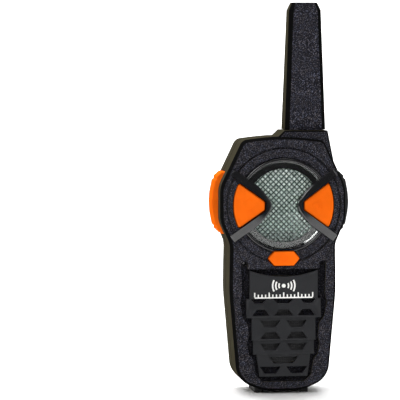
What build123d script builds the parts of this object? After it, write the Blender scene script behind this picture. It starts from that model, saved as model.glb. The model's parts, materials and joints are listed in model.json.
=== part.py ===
"""Hand-held two-way radio: a moulded case in two shells, a stub antenna, five push keys,
a domed signal lens, a loudspeaker behind a stepped grille, three AAA cells under a sliding
door, and a sprung belt clip.

Millimetres. X runs to the right of someone facing the radio, Z is up, and the front faces -Y.
The origin is on the surface that the radio stands on, under the middle of its bounding box.
Plane.XZ points towards the front, so a height h on it lies at y = -h: heights in front of
the parting plane are positive and heights behind it are negative.
"""

import os
from math import cos, radians, sin, sqrt

from build123d import *

os.makedirs("parts", exist_ok=True)

# ---------------------------------------------------------------- driving dimensions
TOTAL_HEIGHT = 160.0
FACE = 13.0  # front face, in front of the parting plane
BACK = 11.0  # rear face, behind the parting plane
WALL = 2.0
BACK_WALL = 1.8
GAP = 0.4  # shut line round a key
FIT = 0.1  # clearance between fixed pieces that nest

FOOT_HEIGHT = 1.2
DIAL_Z = 77.4  # centre of the round key and lens group

# case outline, right half, bottom to top: x, z and corner radius
OUTLINE = (
    (8.0, FOOT_HEIGHT, 20.0),
    (18.9, 5.7, 9.5),
    (22.1, 42.0, 60.0),
    (21.8, 61.5, 8.0),
    (25.9, 71.0, 10.0),
    (25.9, 85.0, 12.0),
    (16.8, 104.0, 3.6),
)
CROWN = (0.0, 106.0, 80.0)
BEVEL_IN, BEVEL_DEEP = 1.0, 2.4
FACE_ROUND = 0.5
SEAM = 0.25  # chamfer on both sides of the parting line
REAR_ROUND, REAR_STEPS = 3.0, 5  # rear edge: radius, and flats that make it up

# stub antenna and the collar that it stands on
ANTENNA_X, ANTENNA_Y = 10.0, -1.5
COLLAR_TOP = 107.8
COLLAR = (
    (-3.1, 104.2), (0.6, COLLAR_TOP), (18.5, COLLAR_TOP), (21.7, 92.0), (15.0, 88.0), (-3.1, 98.0),
)
COLLAR_FRONT, COLLAR_BACK, COLLAR_BEVEL = 11.2, 6.6, 0.6
ANTENNA_FOOT = 108.05
ANTENNA_SHOULDER = 156.8
NECK_W, NECK_D = 10.8, 8.0
NECK_FOOT = 99.4
BORE_R, BORE_TOP = 3.2, 152.0

# round group: lens, frames and keys
RIM_R = 19.2
MOAT_WIDE, MOAT_DEEP = 0.5, 0.7  # step in the case round the rim
LENS_R = 18.0
WINDOW_R = 15.0
GROOVE_R, GROOVE_WIDE, GROOVE_DEEP = 23.4, 0.8, 0.8
ARM_R = 25.2
FAN_R = 20.6
FAN_TIP_X, FAN_TIP_HALF = 8.1, 1.65
FAN_WING_Z = 9.1
FAN_WING_X = sqrt(FAN_R**2 - FAN_WING_Z**2)
# edge of a frame towards the window, upper half: distances across and up from the dial's centre
COVE = ((5.4, 0.0), (6.45, 2.8), (8.57, 5.54), (12.15, 9.0))
COVE_SLOPE = 0.72
FRAME_SLACK = 0.18
LENS_APEX, LENS_BALL = 15.4, 81.0
LENS_THICK = 1.5
PLATE_THICK = 1.4
KEY_APEX, KEY_BALL = 15.3, 100.0
FRAME_APEX, FRAME_BALL, FRAME_ROUND = 16.2, 125.0, 0.5
BEZEL_BACK = 10.0
BEZEL_FLANGE_R = 20.7

# small hexagonal key below the lens
HEX_Z = 55.8
HEX_HALF_W, HEX_FLAT_HALF, HEX_HALF_H = 6.5, 4.0, 2.9
HEX_FRONT = 14.4

# side keys, the same outline on both sides
SIDE_LOW, SIDE_HIGH = 65.4, 90.9
SIDE_DEPTH = 9.6
SIDE_FLANGE_X = 20.0

# circuit board and the stacks that stand on it
BOARD_FRONT, BOARD_BACK = 5.0, 3.8
SWITCH_HIGH = 6.6
PLUNGER_TIP = 7.35
STEM_END = 7.4
FLANGE_LOW, FLANGE_HIGH = 9.0, 9.8

# loudspeaker
SPEAKER_Z, SPEAKER_R = 24.5, 14.0

# grille field in the lower face and the stepped panel in it
FIELD = (
    (14.8, 51.4), (14.8, 54.0), (16.2, 55.3), (17.6, 54.0), (17.2, 41.5), (18.0, 37.6), (17.0, 32.2),
    (14.7, 28.6), (14.3, 23.4), (15.0, 20.8), (14.3, 16.4), (12.7, 14.6), (11.4, 7.8), (8.6, 5.2),
)
FIELD_FLOOR, SLOT_FLOOR = 12.0, 11.0
PANEL_STEPS = (  # half width at the top, half width at the foot, foot z, top z
    (14.1, 14.1, 39.2, 50.9),
    (15.4, 15.4, 31.5, 39.3),
    (13.2, 13.2, 22.2, 31.6),
    (12.6, 12.6, 16.5, 22.3),
    (11.2, 9.9, 7.4, 16.6),
)
STEP_PROUD, STEP_SUNK = 13.5, 12.9

# battery bay in the rear shell
CELL_R, CELL_Y, CELL_PITCH = 5.2, 4.05, 10.6
CELL_LOW, CELL_BODY, CELL_NUB = 10.5, 43.5, 1.0
TRAY_HALF_W, TRAY_LOW, TRAY_HIGH, TRAY_WALL = 16.4, 6.6, 56.2, 1.2
TRAY_FLOOR = -1.35
DOOR_HALF_W, DOOR_TOP, DOOR_INNER = 17.0, 58.0, 9.4
TONGUE_HALF_W, TONGUE_OUTER = 17.8, 10.1
SLIDE_FIT = 0.15

# belt clip
PIVOT_Z, PIVOT_Y = 88.0, 14.2
KNUCKLE_R, PIN_R = 2.0, 0.9
CLIP_HALF_W, EAR_WIDTH = 6.4, 1.8
CLIP_BASE = 1.2
CLIP_SCREWS = ((4.0, 82.0),)

# screws: x, z of the case screws and of the board screws
CASE_SCREWS = ((14.5, 96.0), (17.6, 60.8))
CASE_BOSS_R = 2.6
BOARD_SCREWS = ((15.6, 46.0), (13.6, 10.6))


REACH = 40.0  # well outside the case, for shapes that are cut off by others


# ---------------------------------------------------------------- shared shapes
def front(h):
    """The plane parallel to the front face at height h in front of the parting plane."""
    return Plane.XZ.offset(h)


def dial(h):
    """The same plane, with its origin on the axis of the round group."""
    return Plane(origin=(0, -h, DIAL_Z), x_dir=(1, 0, 0), z_dir=(0, -1, 0))


def both_sides(points):
    """Every x, z pair of the right half, then the same pair on the left half."""
    return [(side * x, z) for x, z in points for side in (1, -1)]


def mirrored(points):
    """A closed outline from its right half, bottom or top first."""
    return [*points, *((-x, z) for x, z in reversed(points))]


def case_outline(h, inset=0.0):
    """The case's outline at height h, taken in by inset."""
    right = [(x, z) for x, z, _ in OUTLINE]
    radii = [r for _, _, r in OUTLINE]
    points = [*right, CROWN[:2], *((-x, z) for x, z in reversed(right))]
    with BuildSketch(front(h)) as outline:
        with BuildLine():
            FilletPolyline(*points, radius=[*radii, CROWN[2], *reversed(radii)], close=True)
        make_face()
        if inset:
            offset(amount=-inset, kind=Kind.INTERSECTION)
    return outline.sketch


def slab(h_low, h_high, inset=0.0):
    """The case's outline as a solid between two heights."""
    with BuildPart() as block:
        extrude(case_outline(h_low, inset), amount=h_high - h_low)
    return block.part


def box_between(low, high):
    """A box from its lowest to its highest corner."""
    centre = [(a + b) / 2 for a, b in zip(low, high)]
    with BuildPart() as block:
        with Locations(tuple(centre)):
            Box(*(b - a for a, b in zip(low, high)))
    return block.part


def fan(h, side, grow=0.0, corner=0.7):
    """Outline of one fan-shaped key, grown by grow: its point is towards the dial's centre."""
    with BuildSketch(dial(h)) as outline:
        with BuildLine():
            tip = Line((side * FAN_TIP_X, -FAN_TIP_HALF), (side * FAN_TIP_X, FAN_TIP_HALF))
            upper = Line(tip @ 1, (side * FAN_WING_X, FAN_WING_Z))
            rim = ThreePointArc(upper @ 1, (side * FAN_R, 0), (side * FAN_WING_X, -FAN_WING_Z))
            Line(rim @ 1, tip @ 0)
        make_face()
        fillet(outline.vertices(), corner)
        if grow:
            offset(amount=grow)
    return outline.sketch


def wedge(h, side, grow):
    """The key's straight sides carried on outwards, past the rim, and grown by grow."""
    slope = (FAN_WING_Z - FAN_TIP_HALF) / (FAN_WING_X - FAN_TIP_X)
    spread = FAN_TIP_HALF + slope * (REACH - FAN_TIP_X)
    with BuildSketch(dial(h)) as outline:
        with BuildLine():
            Polyline(
                (side * FAN_TIP_X, -FAN_TIP_HALF), (side * FAN_TIP_X, FAN_TIP_HALF),
                (side * REACH, spread), (side * REACH, -spread), close=True,
            )
        make_face()
        offset(amount=grow)
    return outline.sketch


def cove(h, side, slack=0.0):
    """Everything on the key's side of a frame's curved edge, moved towards the centre by slack."""
    upper = [(side * (x - slack), z) for x, z in COVE]
    lower = [(x, -z) for x, z in reversed(upper[1:])]
    far_x = side * (REACH - slack)
    far_z = COVE[-1][1] + COVE_SLOPE * (REACH - COVE[-1][0])
    with BuildSketch(dial(h)) as outline:
        with BuildLine():
            edge = Spline(
                *lower, *upper, tangents=[(-side, COVE_SLOPE), (side, COVE_SLOPE)],
            )
            Polyline(edge @ 1, (far_x, far_z), (far_x, -far_z), edge @ 0)
        make_face()
    return outline.sketch


def hourglass(h, radius, slack):
    """A disc of the given radius with both frames' coves taken out of it."""
    with BuildSketch(dial(h)) as outline:
        Circle(radius)
    return outline.sketch - cove(h, 1, slack) - cove(h, -1, slack)


def hexagon(h, grow=0.0):
    """Outline of the small key below the lens."""
    with BuildSketch(front(h)) as outline:
        with BuildLine():
            top, foot = HEX_Z + HEX_HALF_H, HEX_Z - HEX_HALF_H
            Polyline(*mirrored([(HEX_FLAT_HALF, foot), (HEX_HALF_W, HEX_Z), (HEX_FLAT_HALF, top)]), close=True)
        make_face()
        fillet(outline.vertices(), 0.6)
        if grow:
            offset(amount=grow)
    return outline.sketch


def ball(apex, radius):
    """A ball whose foremost point is on the dial's axis at height apex."""
    return Pos(0, radius - apex, DIAL_Z) * Sphere(radius, mode=Mode.PRIVATE)


def prism(sketch, amount):
    """A sketch carried forwards by amount."""
    with BuildPart() as block:
        extrude(sketch, amount=amount)
    return block.part


def rod(start, direction, length, radius):
    """A round rod from a point along a direction."""
    with BuildPart() as block:
        with BuildSketch(Plane(origin=start, z_dir=direction)):
            Circle(radius)
        extrude(amount=length)
    return block.part


def save(piece, name):
    """Labels a finished piece and writes it as one node."""
    piece.label = name
    export_step(piece, f"parts/{name}.step")


# ---------------------------------------------------------------- outer blocks of the case
def collar_outline(h, inset=0.0):
    """Outline of the raised collar under the antenna."""
    with BuildSketch(front(h)) as outline:
        with BuildLine():
            Polyline(*COLLAR, close=True)
        make_face()
        if inset:
            offset(amount=-inset, kind=Kind.INTERSECTION)
    return outline.sketch


with BuildPart() as front_block:
    for h, inset in ((0, SEAM), (SEAM, 0), (FACE - BEVEL_DEEP, 0), (FACE, BEVEL_IN)):
        add(case_outline(h, inset))
    loft(ruled=True)
    fillet(front_block.faces().sort_by(Axis.Y)[0].edges(), FACE_ROUND)

with BuildPart() as front_collar:
    for h, inset in ((0, 0), (COLLAR_FRONT - COLLAR_BEVEL, 0), (COLLAR_FRONT, COLLAR_BEVEL)):
        add(collar_outline(h, inset))
    loft(ruled=True)

with BuildPart() as rear_block:
    add(case_outline(0, SEAM))
    add(case_outline(-SEAM))
    for step in range(REAR_STEPS + 1):
        turn = radians(90 * step / REAR_STEPS)
        add(case_outline(REAR_ROUND * (1 - sin(turn)) - BACK, REAR_ROUND * (1 - cos(turn))))
    loft(ruled=True)

with BuildPart() as rear_collar:
    for h, inset in ((0, 0), (COLLAR_BEVEL - COLLAR_BACK, 0), (-COLLAR_BACK, COLLAR_BEVEL)):
        add(collar_outline(h, inset))
    loft(ruled=True)


# ---------------------------------------------------------------- openings shared by both shells
def side_window(side, grow):
    """The slot in the side wall that a side key slides through."""
    return box_between(
        (min(side * 19.0, side * 31.0), -SIDE_DEPTH / 2 - grow, SIDE_LOW - grow),
        (max(side * 19.0, side * 31.0), SIDE_DEPTH / 2 + grow, SIDE_HIGH + grow),
    )


def neck_slot():
    """The hole in the top of the collar for the antenna's neck."""
    return box_between(
        (ANTENNA_X - NECK_W / 2 - GAP, ANTENNA_Y - NECK_D / 2 - GAP, 99.0),
        (ANTENNA_X + NECK_W / 2 + GAP, ANTENNA_Y + NECK_D / 2 + GAP, COLLAR_TOP + 2),
    )


FOOT_X, FOOT_HALF_W, FOOT_FRONT, FOOT_REAR, FOOT_TOP = 9.45, 1.75, -8.0, 7.0, 3.2


def foot_space(grow):
    """The two runners that the radio stands on, grown by grow, as solids."""
    return [
        box_between(
            (side * FOOT_X - FOOT_HALF_W - grow, FOOT_FRONT - grow, 0 if grow == 0 else -1),
            (side * FOOT_X + FOOT_HALF_W + grow, FOOT_REAR + grow, FOOT_TOP + grow),
        )
        for side in (1, -1)
    ]


# ---------------------------------------------------------------- front shell
def field_outline(h, inset=0.0):
    """Outline of the sunk field in the lower face."""
    with BuildSketch(front(h)) as outline:
        with BuildLine():
            Polyline(*mirrored(FIELD), close=True)
        make_face()
        fillet([v for v in outline.vertices() if v.Y < 54.5], 0.5)
        if inset:
            offset(amount=-inset, kind=Kind.INTERSECTION)
    return outline.sketch


CHEST_CORNER, CHEST_FOOT, SCORE_WIDE = (22.2, 66.0), (17.4, 55.4), 0.5

with BuildPart() as front_shell:
    add(front_block.part)
    add(front_collar.part)
    add(slab(0, FACE - WALL, WALL), mode=Mode.SUBTRACT)
    # local thickening behind the slot over the grille
    add(box_between((-16, -FACE + WALL, 46.5), (16, -FACE + WALL + 0.8, 53.6)))
    # posts for the case screws and the board screws
    with BuildSketch(front(0)):
        with Locations(*both_sides(CASE_SCREWS)):
            Circle(CASE_BOSS_R)
    extrude(amount=FACE - WALL)
    with BuildSketch(front(BOARD_FRONT)):
        with Locations(*both_sides(BOARD_SCREWS)):
            Circle(1.7)
    extrude(amount=FACE - WALL - BOARD_FRONT)
    # ring that holds the loudspeaker
    with BuildSketch(front(BOARD_FRONT + 1.6)):
        with Locations((0, SPEAKER_Z)):
            Circle(SPEAKER_R + 1.1)
            Circle(SPEAKER_R + FIT, mode=Mode.SUBTRACT)
    extrude(amount=FACE - WALL - BOARD_FRONT - 1.6)
    # openings for the round group and the hexagonal key
    with BuildSketch(dial(BEZEL_BACK)):
        Circle(RIM_R + FIT)
    extrude(amount=FACE, mode=Mode.SUBTRACT)
    with BuildSketch(dial(FACE - MOAT_DEEP)):
        Circle(RIM_R + MOAT_WIDE)
    extrude(amount=FACE, mode=Mode.SUBTRACT)
    for side in (1, -1):
        add(prism(fan(BEZEL_BACK, side, GAP), FACE), mode=Mode.SUBTRACT)
    add(prism(hexagon(BEZEL_BACK, GAP), FACE), mode=Mode.SUBTRACT)
    # groove round the dial
    with BuildSketch(dial(FACE - GROOVE_DEEP)):
        Circle(GROOVE_R + GROOVE_WIDE / 2)
        Circle(GROOVE_R - GROOVE_WIDE / 2, mode=Mode.SUBTRACT)
    extrude(amount=2, mode=Mode.SUBTRACT)
    # grille field, the deep slot over the panel, and the loudspeaker opening
    add(prism(field_outline(FIELD_FLOOR), 3), mode=Mode.SUBTRACT)
    with BuildSketch(front(SLOT_FLOOR)):
        with Locations((0, 50.0)):
            Rectangle(28.6, 2.8)
    extrude(amount=3, mode=Mode.SUBTRACT)
    with BuildSketch(front(FACE - WALL - 1)):
        with Locations((0, SPEAKER_Z)):
            Circle(SPEAKER_R - 2)
    extrude(amount=3, mode=Mode.SUBTRACT)
    # sound hole of the microphone on the left and its blind twin on the right
    with BuildSketch(front(FIELD_FLOOR - 0.5)):
        with Locations(*both_sides([(16.2, 53.7)])):
            Circle(0.9)
    extrude(amount=3, mode=Mode.SUBTRACT)
    with BuildSketch(front(FACE - WALL - 1)):
        with Locations((-16.2, 53.7)):
            Circle(0.5)
    extrude(amount=3, mode=Mode.SUBTRACT)
    # score lines from the waist to the ends of the field
    for side in (1, -1):
        with BuildSketch(front(FACE - 0.4)):
            with BuildLine():
                score = Line(*((side * x, z) for x, z in (CHEST_CORNER, CHEST_FOOT)))
            trace(score, SCORE_WIDE)
        extrude(amount=2, mode=Mode.SUBTRACT)
    # pilot holes
    with BuildSketch(front(0)):
        with Locations(*both_sides(CASE_SCREWS)):
            Circle(1.03)
    extrude(amount=8, mode=Mode.SUBTRACT)
    with BuildSketch(front(BOARD_FRONT)):
        with Locations(*both_sides(BOARD_SCREWS)):
            Circle(0.78)
    extrude(amount=4, mode=Mode.SUBTRACT)
    # slots for the side keys, the antenna's neck and the feet
    for side in (1, -1):
        add(side_window(side, 0.25), mode=Mode.SUBTRACT)
    add(neck_slot(), mode=Mode.SUBTRACT)
    for space in foot_space(FIT / 2):
        add(space, mode=Mode.SUBTRACT)

save(front_shell.part, "front_shell")


# ---------------------------------------------------------------- rear shell and battery door
def door_space(grow):
    """The door's plate and its two tongues as one solid, grown by grow on the sliding faces."""
    plate = box_between(
        (-DOOR_HALF_W - grow, DOOR_INNER - grow, -2),
        (DOOR_HALF_W + grow, BACK + 1, DOOR_TOP + grow),
    )
    tongues = box_between(
        (-TONGUE_HALF_W - grow, DOOR_INNER - grow, -2),
        (TONGUE_HALF_W + grow, TONGUE_OUTER + grow, DOOR_TOP - 4 + grow),
    )
    return plate + tongues


with BuildPart() as tray_outer:
    add(
        box_between(
            (-TRAY_HALF_W - TRAY_WALL, TRAY_FLOOR - 1, TRAY_LOW - TRAY_WALL),
            (TRAY_HALF_W + TRAY_WALL, BACK - BACK_WALL, TRAY_HIGH + TRAY_WALL),
        )
    )
    add(slab(-BACK, -TRAY_FLOOR + 1, WALL + FIT), mode=Mode.INTERSECT)

with BuildPart() as tray_inner:
    add(box_between((-TRAY_HALF_W, TRAY_FLOOR, TRAY_LOW), (TRAY_HALF_W, BACK, TRAY_HIGH)))
    add(slab(-BACK, -TRAY_FLOOR, WALL + TRAY_WALL), mode=Mode.INTERSECT)

with BuildPart() as rear_shell:
    add(rear_block.part)
    add(rear_collar.part)
    add(slab(-BACK + BACK_WALL, 0, WALL), mode=Mode.SUBTRACT)
    add(tray_outer.part)
    with BuildSketch(front(-BACK + BACK_WALL)):
        with Locations(*both_sides(CASE_SCREWS)):
            Circle(CASE_BOSS_R)
    extrude(amount=BACK - BACK_WALL)
    with BuildSketch(front(-BACK + BACK_WALL)):
        with Locations(*both_sides(CLIP_SCREWS)):
            Circle(2.2)
    extrude(amount=1.6)
    add(tray_inner.part, mode=Mode.SUBTRACT)
    add(door_space(SLIDE_FIT), mode=Mode.SUBTRACT)
    with BuildSketch(front(-BACK)):
        with Locations(*both_sides(CLIP_SCREWS)):
            Circle(0.83)
    extrude(amount=BACK_WALL + 1.6, mode=Mode.SUBTRACT)
    with BuildSketch(front(-BACK)):
        with Locations(*both_sides(CASE_SCREWS)):
            Circle(2.2)
    extrude(amount=4, mode=Mode.SUBTRACT)
    with BuildSketch(front(-BACK)):
        with Locations(*both_sides(CASE_SCREWS)):
            Circle(1.2)
    extrude(amount=BACK, mode=Mode.SUBTRACT)
    for side in (1, -1):
        add(side_window(side, 0.25), mode=Mode.SUBTRACT)
    add(neck_slot(), mode=Mode.SUBTRACT)
    for space in foot_space(FIT / 2):
        add(space, mode=Mode.SUBTRACT)

save(rear_shell.part, "rear_shell")

GRIP_RIBS = 6
with BuildPart() as battery_door:
    add(rear_block.part)
    add(door_space(0), mode=Mode.INTERSECT)
    with Locations(*((0, BACK + 0.1, 33.0 + 2.2 * n) for n in range(GRIP_RIBS))):
        Box(14, 0.6, 0.9)

save(battery_door.part, "battery_door")

with BuildPart() as foot_pads:
    for space in foot_space(0):
        add(space)
    fillet(foot_pads.edges().filter_by(Axis.Z), 0.5)

save(foot_pads.part, "foot_pads")

# ---------------------------------------------------------------- antenna
with BuildPart() as antenna_sleeve:
    for z, width, depth in (
        (ANTENNA_FOOT, 16.9, 12.0),
        (ANTENNA_SHOULDER, 13.3, 9.6),
    ):
        with BuildSketch(Plane(origin=(ANTENNA_X, ANTENNA_Y, z))) as section:
            Rectangle(width, depth)
            chamfer(section.vertices(), 1.7)
    loft(ruled=True)
    for z, width, depth in (
        (ANTENNA_SHOULDER, 13.3, 9.6),
        (TOTAL_HEIGHT, 10.5, 7.0),
    ):
        with BuildSketch(Plane(origin=(ANTENNA_X, ANTENNA_Y, z))) as section:
            Rectangle(width, depth)
            chamfer(section.vertices(), 1.7 if z < TOTAL_HEIGHT else 1.3)
    loft(ruled=True)
    fillet(antenna_sleeve.edges().filter_by(lambda e: e.bounding_box().max.Z > ANTENNA_FOOT + 1), 0.5)
    with BuildSketch(Plane(origin=(ANTENNA_X, ANTENNA_Y, NECK_FOOT))):
        Rectangle(NECK_W, NECK_D)
    extrude(amount=ANTENNA_FOOT - NECK_FOOT)
    with BuildSketch(Plane(origin=(ANTENNA_X, ANTENNA_Y, NECK_FOOT))):
        Rectangle(NECK_W + 0.8, NECK_D + 2.0)
    extrude(amount=1.5)
    with BuildSketch(Plane(origin=(ANTENNA_X, ANTENNA_Y, NECK_FOOT))):
        Circle(BORE_R)
    extrude(amount=BORE_TOP - NECK_FOOT, mode=Mode.SUBTRACT)

save(antenna_sleeve.part, "antenna_sleeve")

COIL_R, COIL_LOW, COIL_TURNS, COIL_PITCH, WIRE_R = 2.3, 106.0, 12, 3.4, 0.4
COIL_HEIGHT = COIL_PITCH * COIL_TURNS
FEED_LOW = 98.2
with BuildPart() as antenna_coil:
    with BuildLine() as coil_path:
        Helix(pitch=COIL_PITCH, height=COIL_HEIGHT, radius=COIL_R, center=(ANTENNA_X, ANTENNA_Y, COIL_LOW))
    with BuildSketch(Plane(origin=coil_path.line @ 0, z_dir=coil_path.line % 0)):
        Circle(WIRE_R)
    sweep(path=coil_path.line, is_frenet=True)
    with BuildSketch(Plane(origin=(ANTENNA_X + COIL_R, ANTENNA_Y, FEED_LOW))):
        Circle(WIRE_R)
    extrude(amount=COIL_LOW - FEED_LOW)

save(antenna_coil.part, "antenna_coil")

# ---------------------------------------------------------------- bezel, lens and light plate
with BuildPart() as bezel:
    with BuildSketch(dial(BEZEL_BACK)):
        Circle(RIM_R)
    extrude(amount=8)
    add(ball(LENS_APEX - LENS_THICK - 0.05, LENS_BALL - LENS_THICK - 0.05), mode=Mode.INTERSECT)
    with BuildSketch(dial(BEZEL_BACK)):
        Circle(RIM_R)
        Circle(LENS_R + FIT, mode=Mode.SUBTRACT)
    extrude(amount=FACE + 0.9 - BEZEL_BACK)
    fillet(bezel.faces().sort_by(Axis.Y)[0].edges(), 0.35)
    with BuildSketch(dial(BEZEL_BACK)):
        Circle(BEZEL_FLANGE_R)
    extrude(amount=FACE - WALL - BEZEL_BACK - FIT)

with BuildPart() as frames:
    with BuildSketch(dial(BEZEL_BACK)) as disc:
        Circle(RIM_R)
    with BuildSketch(dial(FACE + 0.05)) as reach:
        Circle(ARM_R)
    for side in (1, -1):
        add(prism(disc.sketch & cove(BEZEL_BACK, side), 8))
        add(prism(reach.sketch & cove(FACE + 0.05, side), 6))
    add(ball(FRAME_APEX, FRAME_BALL), mode=Mode.INTERSECT)
    crest = frames.faces().filter_by(GeomType.SPHERE)
    fillet(crest.edges(), FRAME_ROUND)
    for side in (1, -1):
        add(prism(wedge(BEZEL_BACK - 1, side, GAP + 0.05), 12), mode=Mode.SUBTRACT)

with BuildPart() as bezel_whole:
    add(bezel.part)
    add(frames.part)
    for side in (1, -1):
        add(prism(fan(BEZEL_BACK - 1, side, GAP), 12), mode=Mode.SUBTRACT)
    add(prism(hourglass(BEZEL_BACK - 1, WINDOW_R, FRAME_SLACK), 12), mode=Mode.SUBTRACT)
    add(prism(hexagon(BEZEL_BACK - 1, GAP), 12), mode=Mode.SUBTRACT)

save(bezel_whole.part, "bezel")

with BuildPart() as lens:
    add(prism(hourglass(BEZEL_BACK, LENS_R, FRAME_SLACK), 8))
    add(ball(LENS_APEX, LENS_BALL), mode=Mode.INTERSECT)
    add(ball(LENS_APEX - LENS_THICK, LENS_BALL - LENS_THICK), mode=Mode.SUBTRACT)

save(lens.part, "lens")

PLATE_APEX = LENS_APEX - LENS_THICK - 0.1
PLATE_BALL = LENS_BALL - LENS_THICK - 0.1
with BuildPart() as prism_plate:
    add(prism(hourglass(BEZEL_BACK, WINDOW_R - FIT, 2 * FRAME_SLACK), 8))
    add(ball(PLATE_APEX, PLATE_BALL), mode=Mode.INTERSECT)
    add(ball(PLATE_APEX - PLATE_THICK, PLATE_BALL - PLATE_THICK), mode=Mode.SUBTRACT)

save(prism_plate.part, "prism_plate")

LIGHT_BOX = (6.0, 12.8)
with BuildPart() as light_box:
    with BuildSketch(dial(BOARD_FRONT)):
        Rectangle(2 * LIGHT_BOX[0], 2 * LIGHT_BOX[1])
        Rectangle(2 * LIGHT_BOX[0] - 1.6, 2 * LIGHT_BOX[1] - 1.6, mode=Mode.SUBTRACT)
    extrude(amount=BEZEL_BACK - FIT - BOARD_FRONT)
    with BuildSketch(dial(BOARD_FRONT)):
        Rectangle(2 * LIGHT_BOX[0], 0.8)
    extrude(amount=2.6)

save(light_box.part, "light_box")

with BuildPart() as signal_leds:
    with BuildSketch(dial(BOARD_FRONT)):
        with Locations((0, 6.2), (0, -6.2)):
            Rectangle(3.5, 2.8)
    extrude(amount=1.3)
    with BuildSketch(dial(BOARD_FRONT + 1.3)):
        with Locations((0, 6.2), (0, -6.2)):
            Circle(1.1)
    extrude(amount=0.5)

save(signal_leds.part, "signal_leds")


# ---------------------------------------------------------------- keys on the front
def stem(h, x, z, radius=1.5):
    """The post on the back of a key that meets the switch."""
    return rod((x, -STEM_END, z), (0, -1, 0), h - STEM_END, radius)


FAN_STEM_X = 14.6
for side, name in ((-1, "left_key"), (1, "right_key")):
    with BuildPart() as fan_key:
        add(prism(fan(FLANGE_LOW, side), 10))
        add(ball(KEY_APEX, KEY_BALL), mode=Mode.INTERSECT)
        fillet(fan_key.faces().filter_by(GeomType.SPHERE).edges(), 0.4)
        add(prism(fan(FLANGE_LOW, side, 0.9), FLANGE_HIGH - FLANGE_LOW))
        add(stem(FLANGE_LOW, side * FAN_STEM_X, DIAL_Z))
    save(fan_key.part, name)

with BuildPart() as power_key:
    add(prism(hexagon(FLANGE_LOW), HEX_FRONT - FLANGE_LOW))
    fillet(power_key.faces().sort_by(Axis.Y)[0].edges(), 0.5)
    add(prism(hexagon(FLANGE_LOW, 0.9), FLANGE_HIGH - FLANGE_LOW))
    add(stem(FLANGE_LOW, 0, HEX_Z))

save(power_key.part, "power_key")

# ---------------------------------------------------------------- side keys
SIDE_PROFILE = (  # distance from the middle plane, z
    (22.6, 65.4), (24.4, 65.4), (26.5, 67.4), (26.5, 68.4), (27.3, 69.0), (28.3, 74.0), (28.6, 78.2),
    (28.3, 82.4), (27.3, 87.4), (26.5, 88.0), (26.5, 89.0), (24.4, 90.9), (22.6, 90.9),
)
SIDE_POST_Y = -2.0
flange = (SIDE_FLANGE_X, SIDE_FLANGE_X + 0.7)
for side, name in ((-1, "talk_button"), (1, "lamp_button")):
    with BuildPart() as side_key:
        with BuildSketch(front(-SIDE_DEPTH / 2)):
            with BuildLine():
                FilletPolyline(
                    *((side * x, z) for x, z in SIDE_PROFILE),
                    radius=[0, 0.6, 0.6, 0.3, 0.8, 6, 8, 6, 0.8, 0.3, 0.6, 0.6, 0], close=True,
                )
            make_face()
        extrude(amount=SIDE_DEPTH)
        rims = side_key.edges().filter_by(lambda e: abs(abs(e.center().Y) - SIDE_DEPTH / 2) < 0.01)
        fillet(rims.filter_by(lambda e: abs(e.center().X) > 23.6), 0.7)
        add(
            box_between(
                (min(side * SIDE_FLANGE_X, side * SIDE_PROFILE[0][0]), -SIDE_DEPTH / 2, SIDE_LOW),
                (max(side * SIDE_FLANGE_X, side * SIDE_PROFILE[0][0]), SIDE_DEPTH / 2, SIDE_HIGH - 1.2),
            )
        )
        add(
            box_between(
                (min(side * flange[0], side * flange[1]), -SIDE_DEPTH / 2 - 1, SIDE_LOW - 0.9),
                (max(side * flange[0], side * flange[1]), SIDE_DEPTH / 2 + 1, SIDE_HIGH - 1.2),
            )
        )
    save(side_key.part, name)

# ---------------------------------------------------------------- switches and their plungers
SWITCH_HALF, CUP_R, PLUNGER_R = 2.3, 1.0, 0.85
SIDE_SWITCH_OUTER, SIDE_SWITCH_INNER = 18.5, 15.0
SIDE_PLUNGER_TIP = SIDE_FLANGE_X - 0.05
front_switches = ((-FAN_STEM_X, DIAL_Z), (FAN_STEM_X, DIAL_Z), (0, HEX_Z))

with BuildPart() as key_switches:
    with BuildSketch(front(BOARD_FRONT)):
        with Locations(*front_switches):
            Rectangle(2 * SWITCH_HALF, 2 * SWITCH_HALF)
    extrude(amount=SWITCH_HIGH - BOARD_FRONT)
    with BuildSketch(front(BOARD_FRONT + 0.2)):
        with Locations(*front_switches):
            Circle(CUP_R)
    extrude(amount=SWITCH_HIGH, mode=Mode.SUBTRACT)

save(key_switches.part, "key_switches")

with BuildPart() as side_switches:
    for side in (1, -1):
        add(
            box_between(
                (min(side * SIDE_SWITCH_INNER, side * SIDE_SWITCH_OUTER), -BOARD_BACK, DIAL_Z - 1.8),
                (max(side * SIDE_SWITCH_INNER, side * SIDE_SWITCH_OUTER), -0.2, DIAL_Z + 4.2),
            )
        )
        add(
            rod((side * (SIDE_SWITCH_INNER + 0.5), SIDE_POST_Y, DIAL_Z + 1.2), (side, 0, 0), 6, CUP_R),
            mode=Mode.SUBTRACT,
        )

save(side_switches.part, "side_switches")

for (x, z), name in zip(front_switches, ("left_key_plunger", "right_key_plunger", "power_key_plunger")):
    save(rod((x, -5.9, z), (0, -1, 0), PLUNGER_TIP - 5.9, PLUNGER_R), name)

for side, name in ((-1, "talk_button_plunger"), (1, "lamp_button_plunger")):
    inner = SIDE_SWITCH_INNER + 2.1
    length = SIDE_PLUNGER_TIP - inner
    save(rod((side * inner, SIDE_POST_Y, DIAL_Z + 1.2), (side, 0, 0), length, PLUNGER_R), name)

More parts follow.
